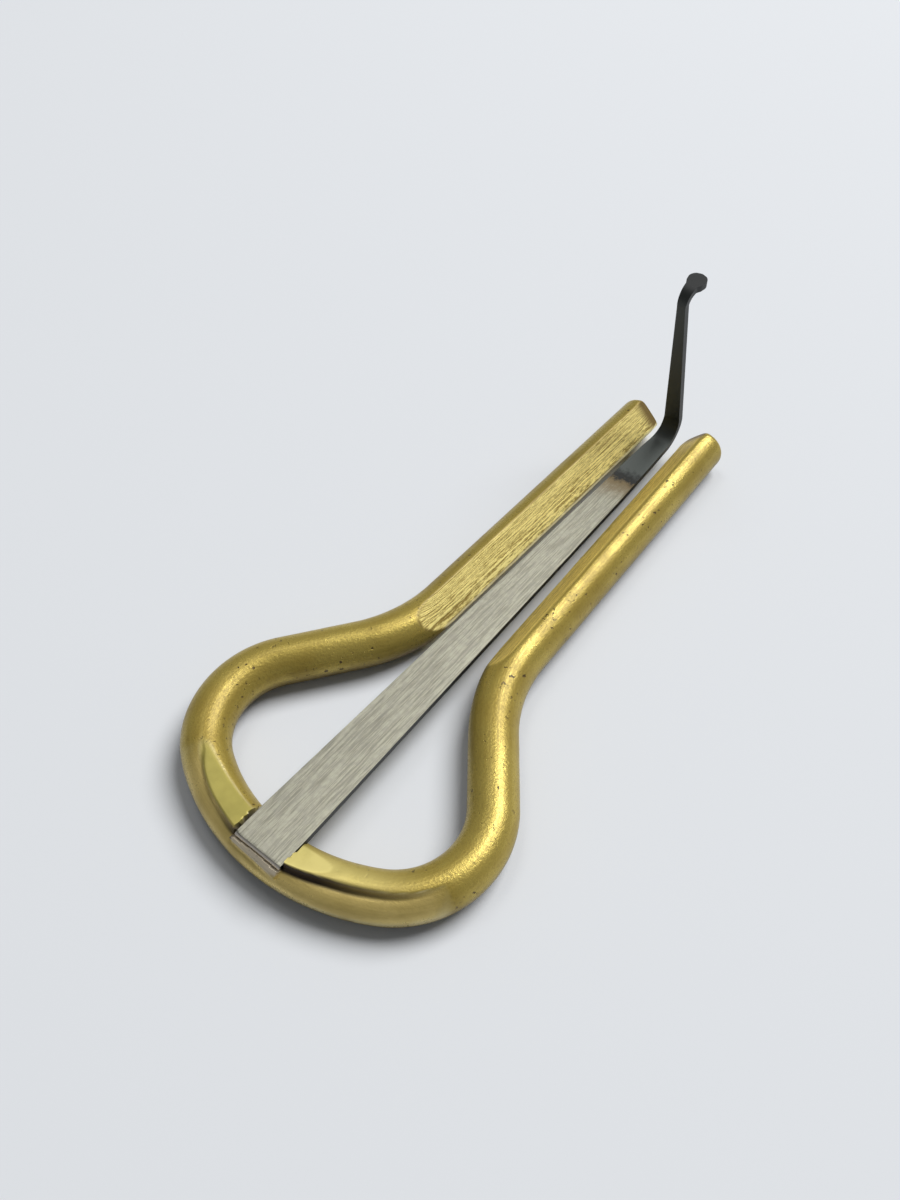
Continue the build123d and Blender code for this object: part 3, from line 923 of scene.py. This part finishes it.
# %% Colour the filed faces
LEFT_SCRATCH, LEFT_BRIGHT = (0.3, 0.205, 0.045), (1.0, 0.85, 0.32)
RIGHT_SCRATCH, RIGHT_BRIGHT = (0.56, 0.40, 0.09), (0.98, 0.75, 0.20)
BURR_BROWN, RUBBED_EDGE_HIGHLIGHT, FACET_BROWN = (0.23, 0.165, 0.04), (1.0, 0.93, 0.6), (0.2, 0.135, 0.04)
SCRATCH_WAVES, GRIT_WAVES = (0.10, 5.5, 1), (0.9, 9.0, 1)
SCRATCH_SHARE, SCRATCH_RANGE, LEFT_RANGE = 0.55, (0.432, 0.548), (-1.0, 1.0)
filed_mark, burr_mark = attribute(tree, "filed"), attribute(tree, "burr")
scratches = grain(tree, way, SCRATCH_WAVES, detail=6, rough=0.7)
grit = grain(tree, way, GRIT_WAVES, detail=5, rough=0.75)
file_marks = weigh(tree, scratches, grit, SCRATCH_SHARE)
file_tone = spread(tree, file_marks, *SCRATCH_RANGE)
left_flat = mix_colour(tree, file_tone, LEFT_SCRATCH, LEFT_BRIGHT)
right_flat = mix_colour(tree, file_tone, RIGHT_SCRATCH, RIGHT_BRIGHT)
along_rod = add(tree, "SeparateXYZ", {"Vector": way}).outputs[0]
on_left = spread(tree, along_rod, *LEFT_RANGE)
colour = mix_colour(tree, filed_mark, skin_colour, mix_colour(tree, on_left, right_flat, left_flat))
colour = mix_colour(tree, burr_mark, colour, BURR_BROWN)
# Painted highlight along the rubbed edges: a near-white brass is laid over them.
colour = mix_colour(tree, attribute(tree, "edge_highlight"), colour, RUBBED_EDGE_HIGHLIGHT)
colour = mix_colour(tree, attribute(tree, "facet"), colour, FACET_BROWN)
print("brass with its filed faces:", len(tree.nodes), "nodes")

# %% [markdown]
# ## The brass: reed seat
# The struck lips are smooth and bare, the ledges are between skin and bare metal, and the brass that was
# smeared round the steel is pale and greyish, with painted light added where the reed's end shades it.
# The right lip's brighter colours, and the strip along the top of the bow that takes them, are a painted
# highlight over the bare brass. Dirt and painted shade darken the foot of the steps and the slot's
# corners. Each finish is laid over the ones before it by its mark.

# %% Colour the reed seat
LEFT_LIP_DARK, LEFT_LIP_LIGHT = (0.30, 0.258, 0.06), (0.43, 0.367, 0.09)
RIGHT_LIP_HIGHLIGHT_DARK, RIGHT_LIP_HIGHLIGHT_LIGHT = (0.68, 0.58, 0.185), (0.88, 0.75, 0.27)
LEDGE_BRIGHT, LEDGE_BROWN = (0.72, 0.56, 0.20), (0.50, 0.38, 0.12)
SMEARED_BRASS_PAINTED_LIGHT, DIRT_SHADE_COLOUR = (0.56, 0.49, 0.37), (0.032, 0.019, 0.013)
LIP_PATCHES = (0.35, 0.65)
pressed_and_highlight_mark, smeared_mark, dirt_and_shade_mark = (attribute(tree, n) for n in ("pressed_and_highlight", "smeared", "dirt_and_painted_shade"))
lip_tone = spread(tree, patches, *LIP_PATCHES)
left_lip = mix_colour(tree, lip_tone, LEFT_LIP_DARK, LEFT_LIP_LIGHT)
# Painted highlight: the right lip's colours are much brighter than the left's, standing in for the light it
# catches.
right_lip_highlight = mix_colour(tree, lip_tone, RIGHT_LIP_HIGHLIGHT_DARK, RIGHT_LIP_HIGHLIGHT_LIGHT)
colour = mix_colour(tree, ledge_mark, colour, mix_colour(tree, tarnish, LEDGE_BRIGHT, LEDGE_BROWN))
colour = mix_colour(tree, pressed_and_highlight_mark, colour, mix_colour(tree, on_left, right_lip_highlight, left_lip))
# Painted light: the smeared brass is coloured paler than it is, against the shadow of the reed's end on it.
colour = mix_colour(tree, smeared_mark, colour, SMEARED_BRASS_PAINTED_LIGHT)
# Dirt and painted shade: the foot of the steps and the slot's corners are coloured nearly black.
colour = mix_colour(tree, dirt_and_shade_mark, colour, DIRT_SHADE_COLOUR)
tree.links.new(colour, shader.inputs["Base Color"])
print("brass with its seat:", len(tree.nodes), "nodes")

# %% [markdown]
# ## The brass: gloss and relief
# A clean metal shader would be too bright and too even, because tarnish is not metal. So the skin is
# only partly metallic, less where it is brown, with a thin coat for the grease of hands. The same noises
# drive the roughness, and a bump that is a few hundredths of a millimetre high.

# %% Set the gloss and the relief of the brass
SPECULAR, SPECULAR_TINT = 0.4, (0.55, 0.5, 0.36, 1)
COAT, COAT_ROUGH = 0.25, 0.3
BRIGHT_METAL, BROWN_METAL, BRIGHT_ROUGH, BROWN_ROUGH = 0.46, 0.37, 0.29, 0.42
SAND_ROUGH = (0.35, 0.65, 0.05, -0.05)
FILED_ROUGH, BURR_ROUGH, PRESSED_HIGHLIGHT_ROUGH, DIRT_SHADE_ROUGH = 0.5, 0.65, 0.42, 0.6
SAND_HEIGHT, FILE_HEIGHT, BRASS_RELIEF = 0.5, 0.9, 0.09


def mix_value(tree, share, a, b):
    """Value a, with this share of value b in its place."""
    return add(tree, "Mix", {0: share, 2: a, 3: b}, data_type="FLOAT").outputs[0]


rough = spread(tree, tarnish, 0, 1, BRIGHT_ROUGH, BROWN_ROUGH)
rough = combine(tree, "ADD", rough, spread(tree, sand, *SAND_ROUGH))
rough = mix_value(tree, filed_mark, rough, FILED_ROUGH)
rough = mix_value(tree, burr_mark, rough, BURR_ROUGH)
rough = mix_value(tree, pressed_and_highlight_mark, rough, PRESSED_HIGHLIGHT_ROUGH)
rough = mix_value(tree, dirt_and_shade_mark, rough, DIRT_SHADE_ROUGH)
tree.links.new(rough, shader.inputs["Roughness"])
metal = spread(tree, tarnish, 0, 1, BRIGHT_METAL, BROWN_METAL)
tree.links.new(metal, shader.inputs["Metallic"])
shader.inputs["Specular IOR Level"].default_value = SPECULAR
shader.inputs["Specular Tint"].default_value = SPECULAR_TINT
shader.inputs["Coat Weight"].default_value = COAT
shader.inputs["Coat Roughness"].default_value = COAT_ROUGH

height = combine(tree, "SUBTRACT", combine(tree, "MULTIPLY", sand, SAND_HEIGHT), pits)
height = mix_value(tree, filed_mark, height, combine(tree, "MULTIPLY", file_marks, FILE_HEIGHT))
height = mix_value(tree, pressed_and_highlight_mark, height, patches)
height = mix_value(tree, smeared_mark, height, patches)
bump = add(tree, "Bump", {"Strength": 1.0, "Distance": BRASS_RELIEF * MM, "Height": height})
tree.links.new(bump.outputs[0], shader.inputs["Normal"])
rod.data.materials.clear()
rod.data.materials.append(brass)
print("brass finished with", len(tree.nodes), "nodes")

# %% [markdown]
# ## The steel
# The reed is ground along its length, which leaves fine grey lines. For bending, the trigger end was
# heated, and heat colours steel by itself: straw first, then a deep blue that is nearly black. The
# border lies a little aslant and is not sharp. Distance along the strip, with some noise added, gives
# those bands. In the blue, a dark band at its start and a paler flat part after it are painted
# reflections of a small kink, and the tab is painted darker as shade. The strip's sides are painted
# dark as shade, and its root's ground end is painted bright as light.

# %% Colour the ground steel and the heated end
DARK_GREY, LIGHT_GREY = (0.238, 0.229, 0.181), (0.425, 0.412, 0.326)
STAIN, STRAW = (0.27, 0.26, 0.225), (0.20, 0.155, 0.09)
KINK_DARK_REFLECTION, BLUED_FLAT_REFLECTION = (0.016, 0.017, 0.016), (0.085, 0.096, 0.09)
BLUED_TRIGGER, BLUED_TAB_SHADE = (0.034, 0.038, 0.036), (0.017, 0.018, 0.018)
GRIND_WAVES, GRIND_RANGE = (0.3, 6.5, 1), (0.36, 0.6)
STAIN_WAVES, STAIN_RANGE = (1.6, 2.0, 1), (0.4, 0.65, 0.0, 0.4)
HEAT_SLANT, HEAT_WAVER = 0.2, (0.3, 0.7, -0.4, 0.4)
STRAW_BAND, BLUE_BAND, FLAT_REFLECTION_BAND = (55.5, 59.6), (59.2, 60.2), (60.4, 62.0)
TRIGGER_BAND, TAB_SHADE_BAND = (66.5, 72.5), (91.0, 92.5)
steel, tree, shader = new_metal("reed_steel_finish")
way = attribute(tree, "reed_way", "Vector")
run_along, across, over_middle = add(tree, "SeparateXYZ", {"Vector": way}).outputs
grind_marks = grain(tree, way, GRIND_WAVES, detail=6, rough=0.72)
stains = grain(tree, way, STAIN_WAVES, detail=5, rough=0.6)
grey = mix_colour(tree, spread(tree, grind_marks, *GRIND_RANGE), DARK_GREY, LIGHT_GREY)
grey = mix_colour(tree, spread(tree, stains, *STAIN_RANGE), grey, STAIN)

slanted = combine(tree, "ADD", run_along, combine(tree, "MULTIPLY", across, HEAT_SLANT))
heat = combine(tree, "ADD", slanted, spread(tree, stains, *HEAT_WAVER))
blue = spread(tree, heat, *BLUE_BAND)
# Painted reflections: a dark band at the blue's start and a paler flat part after it stand for light off a
# small kink; the tab is painted darker as shade.
blued_with_painted_light = mix_colour(tree, spread(tree, heat, *FLAT_REFLECTION_BAND), KINK_DARK_REFLECTION, BLUED_FLAT_REFLECTION)
blued_with_painted_light = mix_colour(tree, spread(tree, run_along, *TRIGGER_BAND), blued_with_painted_light, BLUED_TRIGGER)
blued_with_painted_light = mix_colour(tree, spread(tree, run_along, *TAB_SHADE_BAND), blued_with_painted_light, BLUED_TAB_SHADE)
colour = mix_colour(tree, spread(tree, heat, *STRAW_BAND), grey, STRAW)
colour = mix_colour(tree, blue, colour, blued_with_painted_light)
print("steel with its colours:", len(tree.nodes), "nodes")

# %% Paint shade on the reed's sides and light on its root, and set its gloss and relief
SIDE_SHADE_COLOUR, ROOT_PAINTED_LIGHT = (0.028, 0.029, 0.027), (0.66, 0.61, 0.54)
SIDE_BAND, SIDE_START, ROOT_END = (0.345, 0.374), (0.1, 0.3), (0.1, 0.24)
GROUND_ROUGH, BLUED_ROUGH = 0.42, 0.48
GROUND_METAL, BLUED_METAL = 1.0, 0.35
STAIN_HEIGHT, STEEL_RELIEF = 0.3, 0.014
# Painted shade: the strip's side faces are coloured nearly black.
from_middle = combine(tree, "ABSOLUTE", over_middle, 0.0)
painted_side_shade = spread(tree, from_middle, *SIDE_BAND, 1.0, 0.0)
painted_side_shade = combine(tree, "MULTIPLY", painted_side_shade, spread(tree, run_along, *SIDE_START))
colour = mix_colour(tree, painted_side_shade, colour, SIDE_SHADE_COLOUR)
# Painted light: the root's ground end is coloured pale, to stand for the light on it.
root_painted_light = spread(tree, run_along, *ROOT_END, 1.0, 0.0)
colour = mix_colour(tree, root_painted_light, colour, ROOT_PAINTED_LIGHT)
tree.links.new(colour, shader.inputs["Base Color"])
tree.links.new(mix_value(tree, blue, GROUND_ROUGH, BLUED_ROUGH), shader.inputs["Roughness"])
tree.links.new(mix_value(tree, blue, GROUND_METAL, BLUED_METAL), shader.inputs["Metallic"])
stain_height = combine(tree, "MULTIPLY", stains, STAIN_HEIGHT)
height = mix_value(tree, blue, grind_marks, stain_height)
bump = add(tree, "Bump", {"Strength": 1.0, "Distance": STEEL_RELIEF * MM, "Height": height})
tree.links.new(bump.outputs[0], shader.inputs["Normal"])
reed.data.materials.clear()
reed.data.materials.append(steel)
print("steel finished with", len(tree.nodes), "nodes")

# %% [markdown]
# ## The floor
# The harp lies on pale paper. The floor is not part of the object. It is
# plain and nearly dull, because the metal takes its softest reflections from it.

# %% Lay the paper floor
FLOOR_SIZE = 4
PAPER, PAPER_ROUGH, PAPER_SPECULAR = (0.77, 0.79, 0.82, 1), 0.85, 0.2
bpy.ops.object.select_all(action="DESELECT")
bpy.ops.mesh.primitive_plane_add(size=FLOOR_SIZE, location=(0, 0, 0))
floor = bpy.context.object
floor.name = "paper_floor"
paper = bpy.data.materials.new("pale_paper")
paper.use_nodes = True
paper_shader = paper.node_tree.nodes["Principled BSDF"]
paper_shader.inputs["Base Color"].default_value = PAPER
paper_shader.inputs["Roughness"].default_value = PAPER_ROUGH
paper_shader.inputs["Specular IOR Level"].default_value = PAPER_SPECULAR
floor.data.materials.append(paper)
print("floor", FLOOR_SIZE, "m wide")

# %% [markdown]
# ## The light
# Shiny metal shows its lights, so the highlights on the rod say where they stood: one soft window high
# on the right, a weaker panel on the left, and a dim pale room. A light is set here by its direction as
# seen from the harp, to the right and to the far side of the picture, and by how wide it looks. That
# keeps a highlight's place and its brightness apart while they are tuned.

# %% Light it
FAR_WAY = Vector((0.783, 0.622, 0))
RIGHT_WAY = Vector((0.622, -0.783, 0))
ROOM_COLOUR, ROOM_GLOW = (0.95, 0.98, 1.0, 1), 0.17
LIGHT_DISTANCE = 2.0
world = bpy.data.worlds.new("room")
bpy.context.scene.world = world
world.use_nodes = True
world.node_tree.nodes["Background"].inputs["Color"].default_value = ROOM_COLOUR
world.node_tree.nodes["Background"].inputs["Strength"].default_value = ROOM_GLOW


def soft_light(name, right, far, half_angle, glow):
    """A round panel seen from the harp in a direction, this wide and this bright (1 is white)."""
    up = sqrt(1 - right**2 - far**2)
    light = bpy.data.lights.new(name, "AREA")
    light.shape = "DISK"
    light.size = 2 * LIGHT_DISTANCE * tan(radians(half_angle))
    light.energy = glow * 4 * pi * (light.size / 2) ** 2
    lamp = bpy.data.objects.new(name, light)
    bpy.context.scene.collection.objects.link(lamp)
    lamp.location = (RIGHT_WAY * right + FAR_WAY * far + Vector((0, 0, up))) * LIGHT_DISTANCE
    lamp.rotation_mode = "QUATERNION"
    lamp.rotation_quaternion = (-lamp.location).to_track_quat("-Z", "Y")
    print(name, round(light.size, 2), "m wide,", round(light.energy, 1), "W")


soft_light("window", right=0.46, far=0.34, half_angle=18, glow=7.25)
soft_light("left_panel", right=-0.2, far=0.32, half_angle=10, glow=2.2)
bpy.context.scene.view_settings.view_transform = "Standard"
